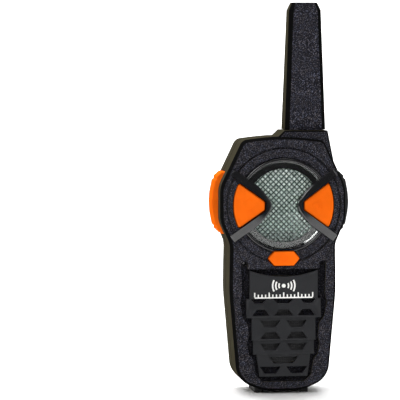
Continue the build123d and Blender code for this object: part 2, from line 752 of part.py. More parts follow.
# ---------------------------------------------------------------- grille panel and speaker group
POCKET_LEAN = 1.9
POCKETS = (  # centre x, low z, high z, half width at the wide end, wide end is the top
    (-5.5, 27.6, 30.4, 4.2, True), (5.5, 27.6, 30.4, 4.2, True),
    (-5.5, 22.9, 25.7, 4.2, False), (5.5, 22.9, 25.7, 4.2, False),
    (-5.5, 18.2, 21.0, 4.2, True), (5.5, 18.2, 21.0, 4.2, True),
    (0, 12.7, 15.5, 6.0, True),
    (-10.2, 37.4, 39.2, 3.4, True), (0, 37.4, 39.2, 4.3, True), (10.2, 37.4, 39.2, 3.4, True),
    (-9.4, 32.4, 34.9, 3.6, False), (0, 32.4, 34.9, 3.9, False), (9.4, 32.4, 34.9, 3.6, False),
    (-5.5, 8.6, 11.4, 4.3, True), (5.5, 8.6, 11.4, 4.3, True),
)


def pocket(h, x, low, high, half, wide_top):
    """Everything above height h in a pocket with one long side, one short side and two slopes."""
    short = half - POCKET_LEAN
    top, foot = (half, short) if wide_top else (short, half)
    with BuildSketch(front(h)) as outline:
        with BuildLine():
            Polyline((x - foot, low), (x + foot, low), (x + top, high), (x - top, high), close=True)
        make_face()
    return prism(outline.sketch, 4)


with BuildPart() as panel_outline:
    with BuildSketch(front(FIELD_FLOOR)) as plan:
        for top_half, foot_half, low, high in PANEL_STEPS:
            with BuildLine():
                Polyline(*mirrored([(foot_half, low), (top_half, high)]), close=True)
            make_face()
        with BuildLine():
            brow = ThreePointArc((-14.1, 50.9), (0, 48.3), (14.1, 50.9))
            Line(brow @ 1, brow @ 0)
        make_face(mode=Mode.SUBTRACT)
    extrude(amount=3)

with BuildPart() as step_profile:
    with BuildSketch(Plane.YZ.offset(-20)):
        for _, _, low, high in PANEL_STEPS:
            proud, sunk = (FACE + 0.2, FACE + 0.2) if low == PANEL_STEPS[0][2] else (STEP_PROUD, STEP_SUNK)
            with BuildLine():
                Polyline(
                    (-FIELD_FLOOR, low), (-proud, low), (-proud, low + 0.5), (-sunk, high),
                    (-FIELD_FLOOR, high), close=True,
                )
            make_face()
    extrude(amount=40)

with BuildPart() as grille_panel:
    add(panel_outline.part)
    add(step_profile.part, mode=Mode.INTERSECT)
    for spec in POCKETS:
        add(pocket(FIELD_FLOOR - 1, *spec), mode=Mode.SUBTRACT)

save(grille_panel.part, "grille_panel")

SPEAKER_FACE = FACE - WALL
GASKET_BACK, BASKET_BACK, MAGNET_BACK = 10.2, 6.6, 5.5


def speaker_disc(h, amount, radius, hole=0.0):
    """A disc or ring on the loudspeaker's axis."""
    with BuildSketch(front(h)) as ring:
        with Locations((0, SPEAKER_Z)):
            Circle(radius)
            if hole:
                Circle(hole, mode=Mode.SUBTRACT)
    return prism(ring.sketch, amount)


CLOTH_THICK, CLOTH_GAP = 0.4, 0.05
CLOTH_BACK = SPEAKER_FACE - CLOTH_GAP - CLOTH_THICK
GASKET_THICK = CLOTH_BACK - CLOTH_GAP - GASKET_BACK
save(speaker_disc(CLOTH_BACK, CLOTH_THICK, SPEAKER_R), "grille_cloth")
save(speaker_disc(GASKET_BACK, GASKET_THICK, SPEAKER_R, SPEAKER_R - 2), "speaker_gasket")

with BuildPart() as speaker_basket:
    add(speaker_disc(BASKET_BACK, GASKET_BACK - 0.05 - BASKET_BACK, SPEAKER_R - 1.6))
    add(speaker_disc(GASKET_BACK - 0.65, 0.6, SPEAKER_R))
    add(speaker_disc(BASKET_BACK + 0.6, 5, SPEAKER_R - 2.4), mode=Mode.SUBTRACT)
    add(speaker_disc(BASKET_BACK - 1, 4, 4.1), mode=Mode.SUBTRACT)

save(speaker_basket.part, "speaker_basket")

with BuildPart() as speaker_magnet:
    add(speaker_disc(MAGNET_BACK, BASKET_BACK - MAGNET_BACK, 7.0))
    add(speaker_disc(BASKET_BACK, 1.2, 3.9, 2.9))

save(speaker_magnet.part, "speaker_magnet")

with BuildPart() as speaker_cone:
    with BuildSketch(Plane(origin=(0, 0, SPEAKER_Z), x_dir=(1, 0, 0), z_dir=(0, 0, 1))):
        with BuildLine():
            Polyline(
                (0, -8.4), (4.0, -8.2), (9.0, -9.5), (10.2, -9.9), (11.4, -9.6), (11.4, -9.3),
                (10.2, -9.6), (9.0, -9.2), (4.0, -7.9), (0, -8.1), close=True,
            )
        make_face()
    revolve(axis=Axis((0, 0, SPEAKER_Z), (0, 1, 0)))

save(speaker_cone.part, "speaker_cone")

MIC_X, MIC_Z = -16.2, 53.7
MIC_BACK = FACE - WALL - 0.8 - 2.2
with BuildPart() as microphone:
    with BuildSketch(front(MIC_BACK)):
        with Locations((MIC_X, MIC_Z)):
            Circle(2.0)
    extrude(amount=1.9)
with BuildPart() as microphone_boot:
    with BuildSketch(front(MIC_BACK - 0.5)):
        with Locations((MIC_X, MIC_Z)):
            Circle(2.7)
    extrude(amount=2.6)
    add(rod((MIC_X, -MIC_BACK + 0.02, MIC_Z), (0, -1, 0), 5, 2.02), mode=Mode.SUBTRACT)

save(microphone.part, "microphone")
save(microphone_boot.part, "microphone_boot")

# ---------------------------------------------------------------- circuit board and what is on it
BOARD_OUTLINE = ((14.0, 7.6), (16.4, 11.0), (17.4, 58.0), (18.4, 64.0), (18.4, 88.0), (15.0, 98.6))
with BuildPart() as circuit_board:
    with BuildSketch(front(BOARD_BACK)) as board:
        with BuildLine():
            FilletPolyline(
                *mirrored(BOARD_OUTLINE), radius=1.0, close=True,
            )
        make_face()
        with Locations(*both_sides(CASE_SCREWS)):
            Circle(CASE_BOSS_R + 0.4, mode=Mode.SUBTRACT)
        with Locations(*both_sides(BOARD_SCREWS)):
            Circle(0.9, mode=Mode.SUBTRACT)
    extrude(amount=BOARD_FRONT - BOARD_BACK)

save(circuit_board.part, "circuit_board")

with BuildPart() as radio_shield:
    add(box_between((-9, -BOARD_BACK, 62), (9, -0.6, 92)))
    add(box_between((-8.7, -BOARD_BACK - 1, 62.3), (8.7, -0.9, 91.7)), mode=Mode.SUBTRACT)

save(radio_shield.part, "radio_shield")

CHIPS = (  # x, z, width, height, thickness
    (-11.2, 41.8, 5.0, 7.0, 1.1), (3.0, 45.5, 9.0, 6.0, 1.4), (9.6, 91.0, 4.0, 4.0, 1.2),
    (-9.0, 92.5, 5.0, 3.2, 1.8),
)
with BuildPart() as circuit_chips:
    for x, z, width, height, thick in CHIPS:
        with BuildSketch(front(BOARD_FRONT)):
            with Locations((x, z)):
                Rectangle(width, height)
        extrude(amount=thick)

save(circuit_chips.part, "circuit_chips")

# ---------------------------------------------------------------- battery bay contents
cell_places = [(n * CELL_PITCH, CELL_Y) for n in (-1, 0, 1)]
with BuildPart() as battery_cells:
    with BuildSketch(Plane.XY.offset(CELL_LOW)):
        with Locations(*cell_places):
            Circle(CELL_R)
    extrude(amount=CELL_BODY)
    fillet(battery_cells.edges().filter_by(GeomType.CIRCLE), 0.5)
    with BuildSketch(Plane.XY.offset(CELL_LOW + CELL_BODY)):
        with Locations(*cell_places):
            Circle(1.9)
    extrude(amount=CELL_NUB)

save(battery_cells.part, "battery_cells")

SPRING_R, SPRING_WIRE, SPRING_TURNS = 3.0, 0.3, 2.5
SPRING_LOW = TRAY_LOW + 1.0
SPRING_PITCH = (CELL_LOW - SPRING_LOW - 2 * SPRING_WIRE - 0.1) / SPRING_TURNS
with BuildPart() as battery_springs:
    for x, y in cell_places:
        with BuildLine() as spring_path:
            Helix(
                pitch=SPRING_PITCH, height=SPRING_PITCH * SPRING_TURNS, radius=SPRING_R,
                center=(x, y, SPRING_LOW + SPRING_WIRE),
            )
        with BuildSketch(Plane(origin=spring_path.line @ 0, z_dir=spring_path.line % 0)):
            Circle(SPRING_WIRE)
        sweep(path=spring_path.line, is_frenet=True)

save(battery_springs.part, "battery_springs")

with BuildPart() as battery_contacts:
    for x, y in cell_places:
        with Locations((x, y, TRAY_HIGH - 0.4)):
            Box(6.2, 7.0, 0.5)
        with Locations((x, y, SPRING_LOW - 0.3)):
            Box(5.2, 5.6, 0.5)

save(battery_contacts.part, "battery_contacts")

# ---------------------------------------------------------------- belt clip
EAR_X = CLIP_HALF_W + 0.3
with BuildPart() as clip_base:
    add(box_between((-9.6, BACK, 79.5), (9.6, BACK + CLIP_BASE, 96.5)))
    fillet(clip_base.edges().filter_by(Axis.Y), 1.5)
    for inner in (-EAR_X - EAR_WIDTH, EAR_X):
        with BuildSketch(Plane.YZ.offset(inner)):
            with BuildLine():
                Polyline(
                    (BACK + 0.6, PIVOT_Z - 5), (BACK + 0.6, PIVOT_Z + 5), (PIVOT_Y, PIVOT_Z + KNUCKLE_R),
                    (PIVOT_Y, PIVOT_Z - KNUCKLE_R), close=True,
                )
            make_face()
            with Locations((PIVOT_Y, PIVOT_Z)):
                Circle(KNUCKLE_R)
        extrude(amount=EAR_WIDTH)
    add(rod((-12, PIVOT_Y, PIVOT_Z), (1, 0, 0), 24, PIN_R), mode=Mode.SUBTRACT)
    with BuildSketch(front(-BACK - CLIP_BASE)):
        with Locations(*both_sides(CLIP_SCREWS)):
            Circle(0.85)
    extrude(amount=CLIP_BASE, mode=Mode.SUBTRACT)

save(clip_base.part, "clip_base")

LEVER_PROFILE = (  # y, z of the lever's centre line, thumb pad to tip
    (15.3, 97.5), (14.6, 92.0), (PIVOT_Y + 0.6, 86.0), (14.6, 70.0), (14.4, 52.0), (12.6, 46.0),
    (12.9, 42.5),
)
with BuildPart() as belt_clip:
    with BuildSketch(Plane.YZ.offset(-CLIP_HALF_W)) as lever_side:
        with BuildLine():
            lever_line = FilletPolyline(*LEVER_PROFILE, radius=[3, 3, 12, 6, 2.2])
        trace(lever_line, 1.7)
        with Locations((PIVOT_Y, PIVOT_Z)):
            Circle(KNUCKLE_R)
    extrude(amount=2 * CLIP_HALF_W)
    flanks = belt_clip.edges().filter_by(lambda e: abs(abs(e.center().X) - CLIP_HALF_W) < 0.01)
    fillet(flanks.filter_by(lambda e: e.center().Z > 97.4), 0.5)
    add(rod((-12, PIVOT_Y, PIVOT_Z), (1, 0, 0), 24, PIN_R + 0.06), mode=Mode.SUBTRACT)
    # room for the spring's coil in the middle of the lever
    add(box_between((-2.6, 9.0, 84.8), (2.6, 18.0, 91.2)), mode=Mode.SUBTRACT)

save(belt_clip.part, "belt_clip")

PIN_HALF, PIN_FIT = EAR_X + EAR_WIDTH, 0.005
save(rod((-PIN_HALF, PIVOT_Y, PIVOT_Z), (1, 0, 0), 2 * PIN_HALF, PIN_R - PIN_FIT), "clip_pin")

CLIP_COIL_R, CLIP_WIRE, CLIP_COIL_PITCH, CLIP_COIL_TURNS = 1.45, 0.3, 0.85, 5
CLIP_COIL_LONG = CLIP_COIL_PITCH * CLIP_COIL_TURNS
with BuildPart() as clip_spring:
    with BuildLine() as clip_coil:
        Helix(
            pitch=CLIP_COIL_PITCH, height=CLIP_COIL_LONG, radius=CLIP_COIL_R,
            center=(-CLIP_COIL_LONG / 2, PIVOT_Y, PIVOT_Z), direction=(1, 0, 0),
        )
    with BuildSketch(Plane(origin=clip_coil.line @ 0, z_dir=clip_coil.line % 0)):
        Circle(CLIP_WIRE)
    sweep(path=clip_coil.line, is_frenet=True)

save(clip_spring.part, "clip_spring")


# ---------------------------------------------------------------- screws
def pan_screw(x, head_low, z, head_r, head_t, shank_r, shank_l):
    """A screw along Y: its head starts at head_low and its shank runs forwards from there."""
    with BuildPart() as screw:
        add(rod((x, head_low, z), (0, 1, 0), head_t, head_r))
        fillet(screw.edges().filter_by(GeomType.CIRCLE).sort_by(Axis.Y)[-1], head_t * 0.4)
        add(rod((x, head_low, z), (0, -1, 0), shank_l, shank_r))
        with Locations((x, head_low + head_t, z)):
            Box(head_r * 1.3, head_t, head_r * 0.32, mode=Mode.SUBTRACT)
            Box(head_r * 0.32, head_t, head_r * 1.3, mode=Mode.SUBTRACT)
    return screw.part


with BuildPart() as case_screws:
    for x, z in both_sides(CASE_SCREWS):
        add(pan_screw(x, BACK - 4.0, z, 1.95, 1.4, 1.0, 14.0))

save(case_screws.part, "case_screws")

with BuildPart() as board_screws:
    for x, z in both_sides(BOARD_SCREWS):
        add(pan_screw(x, -BOARD_BACK, z, 1.7, 1.0, 0.75, 4.6))

save(board_screws.part, "board_screws")

with BuildPart() as clip_screws:
    for x, z in both_sides(CLIP_SCREWS):
        add(pan_screw(x, BACK + CLIP_BASE, z, 1.5, 0.8, 0.8, 4.2))

save(clip_screws.part, "clip_screws")
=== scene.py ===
"""Studio view of a hand-held two-way radio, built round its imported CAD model.

Metres, in the CAD model's own frame: X to the right, Z up, and the front faces -Y.
"""

import json
from math import ceil, cos, radians, sin, sqrt, tau

import bmesh
import bpy
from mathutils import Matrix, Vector
from mathutils.bvhtree import BVHTree


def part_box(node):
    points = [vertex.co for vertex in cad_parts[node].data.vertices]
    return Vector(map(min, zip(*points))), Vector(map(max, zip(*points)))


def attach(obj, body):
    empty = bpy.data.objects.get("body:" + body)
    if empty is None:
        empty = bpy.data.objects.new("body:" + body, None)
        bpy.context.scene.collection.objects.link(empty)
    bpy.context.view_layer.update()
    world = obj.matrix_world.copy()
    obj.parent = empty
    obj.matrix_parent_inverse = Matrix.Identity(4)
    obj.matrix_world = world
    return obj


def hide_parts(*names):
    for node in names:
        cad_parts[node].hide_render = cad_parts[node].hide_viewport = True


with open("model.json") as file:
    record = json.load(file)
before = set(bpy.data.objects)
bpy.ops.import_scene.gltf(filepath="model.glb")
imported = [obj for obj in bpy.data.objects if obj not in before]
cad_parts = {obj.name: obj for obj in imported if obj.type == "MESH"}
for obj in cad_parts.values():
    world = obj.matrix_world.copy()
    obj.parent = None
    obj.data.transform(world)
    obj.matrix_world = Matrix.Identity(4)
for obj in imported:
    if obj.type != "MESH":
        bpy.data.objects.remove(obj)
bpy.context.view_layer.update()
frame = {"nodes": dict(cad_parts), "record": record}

MM = 0.001
nodes = frame["nodes"]


# ---------------------------------------------------------------- places read from the frame
def middle(name):
    low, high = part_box(name)
    return (low + high) / 2


DIAL = middle("lens")
DIAL.x = 0.0
LENS_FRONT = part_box("lens")[0].y
POWER = middle("power_key")


# ---------------------------------------------------------------- camera
AZIMUTH, ELEVATION = radians(-10.0), radians(4.0)
DISTANCE = 0.9
VIEW_WIDTH = 0.16255  # width of the picture at the radio
DIAL_RIGHT, DIAL_DOWN = 0.0345, 0.0023  # where the dial stands from the picture's middle
SENSOR = 36.0


def make_camera():
    """The camera stands to the radio's left and a little above, and looks past its left side."""
    back = Vector((sin(AZIMUTH) * cos(ELEVATION), -cos(AZIMUTH) * cos(ELEVATION), sin(ELEVATION)))
    right = Vector((cos(AZIMUTH), sin(AZIMUTH), 0))
    up = back.cross(right)
    dial = Vector((0, LENS_FRONT, DIAL.z))
    data = bpy.data.cameras.new("camera")
    data.sensor_width = SENSOR
    data.lens = SENSOR * DISTANCE / VIEW_WIDTH
    data.clip_start = 0.05
    camera = bpy.data.objects.new("camera", data)
    bpy.context.scene.collection.objects.link(camera)
    camera.location = dial + back * DISTANCE
    aim = dial - right * DIAL_RIGHT + up * DIAL_DOWN
    camera.rotation_mode = "QUATERNION"
    camera.rotation_quaternion = (aim - camera.location).to_track_quat("-Z", "Y")
    bpy.context.scene.camera = camera


# ---------------------------------------------------------------- node helpers for materials
class Shader:
    """A Principled material with short names for the nodes that every surface here needs."""

    def __init__(self, name, colour, roughness, **sockets):
        self.material = bpy.data.materials.new(name)
        self.material.use_nodes = True
        self.material.diffuse_color = (*colour, 1.0)
        self.tree = self.material.node_tree
        self.principled = self.tree.nodes["Principled BSDF"]
        self.principled.inputs["Base Color"].default_value = (*colour, 1.0)
        self.principled.inputs["Roughness"].default_value = roughness
        for socket, value in sockets.items():
            self.principled.inputs[socket.replace("_", " ")].default_value = value
        self.place = self.node("ShaderNodeTexCoord").outputs["Object"]

    def node(self, kind, **settings):
        made = self.tree.nodes.new(kind)
        for key, value in settings.items():
            setattr(made, key, value)
        return made

    def link(self, source, target):
        self.tree.links.new(source, target)

    def noise(self, per_mm, detail=2.0, stretch=(1, 1, 1), roughness=0.5):
        """Noise with about per_mm features in a millimetre, stretched along the axes."""
        mapping = self.node("ShaderNodeMapping")
        mapping.inputs["Scale"].default_value = stretch
        self.link(self.place, mapping.inputs["Vector"])
        noise = self.node("ShaderNodeTexNoise")
        noise.inputs["Scale"].default_value = per_mm / MM
        noise.inputs["Detail"].default_value = detail
        noise.inputs["Roughness"].default_value = roughness
        self.link(mapping.outputs["Vector"], noise.inputs["Vector"])
        return noise.outputs["Fac"]

    def cells(self, per_mm):
        """Distance to the nearest of about per_mm scattered points in a millimetre."""
        cells = self.node("ShaderNodeTexVoronoi")
        cells.inputs["Scale"].default_value = per_mm / MM
        self.link(self.place, cells.inputs["Vector"])
        return cells.outputs["Distance"]

    def ramp(self, factor, *stops):
        """A colour ramp through (position, colour) stops."""
        ramp = self.node("ShaderNodeValToRGB")
        elements = ramp.color_ramp.elements
        while len(elements) < len(stops):
            elements.new(0.5)
        for element, (position, colour) in zip(elements, stops):
            element.position = position
            element.color = (*colour, 1.0)
        self.link(factor, ramp.inputs["Fac"])
        return ramp.outputs["Color"]

    def mapped(self, factor, low, high, to_low, to_high):
        """factor, taken from low..high to to_low..to_high."""
        scale = self.node("ShaderNodeMapRange")
        for socket, value in zip(("From Min", "From Max", "To Min", "To Max"), (low, high, to_low, to_high)):
            scale.inputs[socket].default_value = value
        self.link(factor, scale.inputs["Value"])
        return scale.outputs["Result"]

    def mix(self, factor, first, second, blend="MIX"):
        """Two colours mixed by a factor; each may be a socket or a colour."""
        mix = self.node("ShaderNodeMix", data_type="RGBA", blend_type=blend)
        colours = [socket for socket in mix.inputs if socket.type == "RGBA"]
        for target, value in zip((mix.inputs["Factor"], *colours), (factor, first, second)):
            if isinstance(value, bpy.types.NodeSocket):
                self.link(value, target)
            elif isinstance(value, (int, float)):
                target.default_value = value
            else:
                target.default_value = (*value, 1.0)
        return next(socket for socket in mix.outputs if socket.type == "RGBA")

    def maths(self, operation, first, second=0.5):
        """One maths operation on one or two values; each may be a socket or a number."""
        maths = self.node("ShaderNodeMath", operation=operation)
        for target, value in zip(maths.inputs, (first, second)):
            if isinstance(value, bpy.types.NodeSocket):
                self.link(value, target)
            else:
                target.default_value = value
        return maths.outputs["Value"]

    def colour(self, socket):
        self.link(socket, self.principled.inputs["Base Color"])

    def rough(self, socket):
        self.link(socket, self.principled.inputs["Roughness"])

    def bump(self, height, depth_mm):
        bump = self.node("ShaderNodeBump")
        bump.inputs["Strength"].default_value = 1.0
        bump.inputs["Distance"].default_value = depth_mm * MM
        self.link(height, bump.inputs["Height"])
        self.link(bump.outputs["Normal"], self.principled.inputs["Normal"])


# ---------------------------------------------------------------- materials
def spark_plastic(name, colour, glint, painted_wall_light, roughness, grain_mm=0.34, depth=0.05, painted_recess_shade=None):
    """Moulded plastic, spark-eroded, its front and back faces finely specked with painted glints.

    Painted light and shade by the way each face turns: bevels are painted near black as shade, and the
    walls have a smoother skin, tinged olive by painted warm light. The last argument sets painted shade in
    the front's recesses: the depth at which the front face starts to darken, the depth at which it is
    darkest, and the height where that stops; below that height the faces farther back, the rear included,
    keep the darkest shade.
    """
    s = Shader(name, colour, roughness, Specular_IOR_Level=0.0)
    grain = s.noise(1 / grain_mm, detail=3.0, roughness=0.62)
    patches = s.noise(0.035, detail=2.0)
    base = s.ramp(patches, (0.35, tuple(0.85 * c for c in colour)), (0.65, tuple(1.2 * c for c in colour)))
    # painted glints: bright specks in the colour stand in for the sparkle of light off the grain, since the
    # skin has no specular
    glint_specks = s.ramp(grain, (0.52, (0, 0, 0)), (0.70, (1, 1, 1)))
    cool, warm = (tuple(g * t for g, t in zip(glint, tint)) for tint in ((0.9, 0.95, 1.15), (1.1, 1.0, 0.95)))
    face = s.mix(glint_specks, base, s.ramp(s.noise(0.9), (0.42, cool), (0.58, warm)))
    # painted light and shade by the way each face turns: the normal tells walls, bevels and faces apart
    axes = s.node("ShaderNodeSeparateXYZ")
    s.link(s.node("ShaderNodeNewGeometry").outputs["Normal"], axes.inputs["Vector"])
    turned = s.maths("ABSOLUTE", axes.outputs["Y"])
    # painted shade: the front face darkens with depth into its recesses, and below the given height every
    # face farther back, the rear included, keeps the darkest shade
    if painted_recess_shade:
        front, floor, top = painted_recess_shade
        place = s.node("ShaderNodeSeparateXYZ")
        s.link(s.place, place.inputs["Vector"])
        shade = s.mapped(place.outputs["Y"], front, floor, 1.0, 0.3)
        above = s.maths("GREATER_THAN", place.outputs["Z"], top)
        face = s.mix(1.0, face, s.maths("MAXIMUM", shade, above), "MULTIPLY")
    # painted shade: bevels near black; painted warm light: walls olive
    bevel = s.mix(s.ramp(turned, (0.2, (0, 0, 0)), (0.3, (1, 1, 1))), painted_wall_light, (0.004, 0.004, 0.004))
    s.colour(s.mix(s.ramp(turned, (0.86, (0, 0, 0)), (0.94, (1, 1, 1))), bevel, face))
    s.rough(s.mapped(grain, 0.3, 0.7, roughness + 0.12, roughness - 0.12))
    s.bump(grain, depth)
    return s.material


def plain_plastic(name, colour, roughness, depth=0.01, per_mm=3.0, **sockets):
    """Moulded plastic with a fine satin skin and faint handling marks."""
    s = Shader(name, colour, roughness, **sockets)
    skin = s.noise(per_mm, detail=2.0)
    smears = s.noise(0.12, detail=3.0)
    dull = tuple(0.93 * c for c in colour)
    bright = tuple(1.06 * c for c in colour)
    s.colour(s.ramp(smears, (0.35, dull), (0.65, bright)))
    s.rough(s.mapped(smears, 0.3, 0.7, roughness - 0.05, roughness + 0.06))
    s.bump(skin, depth)
    return s.material


def gloss_black():
    """Polished black plastic with a trace of orange peel."""
    s = Shader("bezel_gloss", (0.004, 0.004, 0.005), 0.09, Specular_IOR_Level=0.9)
    peel = s.noise(0.5, detail=1.0)
    s.rough(s.mapped(s.noise(0.2, detail=4.0), 0.35, 0.7, 0.06, 0.14))
    s.bump(peel, 0.004)
    return s.material


def clear_lens():
    """Clear plastic with a low index, so that it hides little of what lies under it."""
    s = Shader("lens_clear", (0.96, 0.98, 0.97), 0.02, Transmission_Weight=1.0, IOR=1.22)
    s.rough(s.mapped(s.noise(0.3, detail=3.0), 0.4, 0.75, 0.0, 0.02))
    s.bump(s.noise(0.15, detail=1.0), 0.003)
    return s.material


def prism_silver(foot, top, pitch, centre):
    """Silvered diamond prisms, with painted highlights on the crests, painted shade in the valleys, and
    painted light that makes the top of the window paler.
    """
    s = Shader("prism_silver", (0.8, 0.85, 0.83), 0.25)
    axes = s.node("ShaderNodeSeparateXYZ")
    s.link(s.place, axes.inputs["Vector"])
    level = s.maths("SUBTRACT", axes.outputs["Z"], centre)
    away = [
        s.maths("PINGPONG", s.maths("DIVIDE", s.maths(way, axes.outputs["X"], level), pitch), 0.5)
        for way in ("ADD", "SUBTRACT")
    ]
    # painted highlight on each crest and painted shade in each valley
    crest = s.ramp(
        s.maths("MAXIMUM", *away), (0.14, (1, 1, 1)), (0.24, (0.70, 0.76, 0.74)),
        (0.36, (0.26, 0.31, 0.29)), (0.47, (0.04, 0.055, 0.05)),
    )
    # painted light and shade: paler towards the top of the window, darker towards its foot
    fall = s.mapped(axes.outputs["Z"], foot, top, 0, 1)
    shade = s.ramp(
        fall, (0.0, (0.30, 0.34, 0.33)), (0.25, (0.62, 0.72, 0.68)),
        (0.7, (0.95, 0.99, 0.97)), (1.0, (1, 1, 1)),
    )
    flecks = s.ramp(s.noise(0.7), (0.35, (0.55, 0.6, 0.58)), (0.65, (1, 1, 1)))
    s.colour(s.mix(1.0, s.mix(1.0, crest, shade, "MULTIPLY"), flecks, "MULTIPLY"))
    s.rough(s.mapped(s.noise(1.5), 0.3, 0.7, 0.18, 0.34))
    s.bump(s.noise(2.5), 0.01)
    return s.material


def woven(name, colour, pitch_mm, depth):
    """Plain weave: two crossed sets of threads."""
    s = Shader(name, colour, 0.85, Sheen_Weight=0.15)
    heights = []
    for axis in ("X", "Z"):
        wave = s.node("ShaderNodeTexWave", bands_direction=axis)
        wave.inputs["Scale"].default_value = 1 / (pitch_mm * MM) / 6.2
        wave.inputs["Distortion"].default_value = 0.4
        s.link(s.place, wave.inputs["Vector"])
        heights.append(wave.outputs["Fac"])
    weave = s.maths("MAXIMUM", *heights)
    s.colour(s.ramp(weave, (0.2, tuple(0.4 * c for c in colour)), (0.9, tuple(1.6 * c for c in colour))))
    s.bump(weave, depth)
    return s.material


def foam():
    """Closed-cell foam."""
    s = Shader("foam_black", (0.025, 0.025, 0.026), 0.95)
    bubbles = s.cells(2.2)
    s.colour(s.ramp(bubbles, (0.0, (0.008, 0.008, 0.008)), (0.6, (0.05, 0.05, 0.052))))
    s.bump(bubbles, 0.15)
    return s.material


def metal(name, colour, roughness, brush=(1, 1, 1)):
    """Bare or plated metal with brush lines; brush stretches the grain along the axes."""
    s = Shader(name, colour, roughness, Metallic=1.0)
    lines = s.noise(1.5, detail=4.0, stretch=brush)
    s.colour(s.ramp(s.noise(0.4, detail=4.0), (0.3, tuple(c * 0.88 for c in colour)), (0.7, colour)))
    s.rough(s.mapped(lines, 0.3, 0.7, roughness - 0.08, roughness + 0.12))
    s.bump(lines, 0.008)
    return s.material


def board():
    """Solder mask over a grid of copper tracks, with tinned pads."""
    s = Shader("board_green", (0.02, 0.16, 0.07), 0.35)
    cell = s.node("ShaderNodeTexBrick")
    cell.inputs["Scale"].default_value = 380
    cell.inputs["Color1"].default_value = (0.015, 0.14, 0.06, 1)
    cell.inputs["Color2"].default_value = (0.02, 0.17, 0.08, 1)
    cell.inputs["Mortar"].default_value = (0.05, 0.27, 0.12, 1)
    cell.inputs["Mortar Size"].default_value = 0.06
    flat = s.node("ShaderNodeMapping")
    flat.inputs["Rotation"].default_value = (radians(90), 0, 0)
    s.link(s.place, flat.inputs["Vector"])
    s.link(flat.outputs["Vector"], cell.inputs["Vector"])
    pads = s.ramp(s.cells(0.45), (0.10, (1, 1, 1)), (0.13, (0, 0, 0)))
    s.colour(s.mix(pads, cell.outputs["Color"], (0.72, 0.70, 0.62)))
    s.bump(cell.outputs["Fac"], 0.03)
    return s.material


def cell_sleeve(low, high):
    """Battery sleeve: a copper-coloured band at the top, a dark body, and a bare can at each end."""
    s = Shader("cell_wrap", (0.1, 0.11, 0.12), 0.3, Metallic=0.4)
    height = s.node("ShaderNodeSeparateXYZ")
    s.link(s.place, height.inputs["Vector"])
    along = s.mapped(height.outputs["Z"], low, high, 0, 1)
    bands = s.ramp(
        along, (0.0, (0.6, 0.6, 0.58)), (0.02, (0.03, 0.035, 0.04)), (0.66, (0.03, 0.035, 0.04)),
        (0.67, (0.75, 0.42, 0.2)), (0.955, (0.75, 0.42, 0.2)), (0.965, (0.7, 0.7, 0.68)),
    )
    s.colour(bands)
    s.rough(s.mapped(s.noise(0.5, detail=3.0), 0.3, 0.7, 0.22, 0.4))
    s.bump(s.noise(1.2), 0.01)
    return s.material


def paper_cone():
    """Pressed paper with rings round its middle."""
    s = Shader("cone_paper", (0.03, 0.03, 0.032), 0.8)
    rings = s.node("ShaderNodeTexWave", wave_type="RINGS", rings_direction="Y")
    rings.inputs["Scale"].default_value = 260
    centre = s.node("ShaderNodeMapping")
    centre.inputs["Location"].default_value = -middle("speaker_cone")
    s.link(s.place, centre.inputs["Vector"])
    s.link(centre.outputs["Vector"], rings.inputs["Vector"])
    fibres = s.noise(2.0, detail=5.0)
    s.colour(s.ramp(fibres, (0.3, (0.015, 0.015, 0.016)), (0.7, (0.06, 0.06, 0.062))))
    s.bump(s.maths("ADD", rings.outputs["Fac"], fibres), 0.05)
    return s.material


def studio_white():
    """Matt studio paper."""
    s = Shader("studio_white", (0.86, 0.86, 0.86), 0.9)
    s.colour(s.ramp(s.noise(0.004, detail=3.0), (0.3, (0.85, 0.85, 0.85)), (0.7, (0.87, 0.87, 0.87))))
    return s.material


PRISM_PITCH = 2.15 * MM
# painted shade in the front's recesses
RECESS_SHADE_DEPTHS = (-12.9 * MM, -12.0 * MM, 54.5 * MM)  # darkening starts at Y, is full at Y, stops above Z
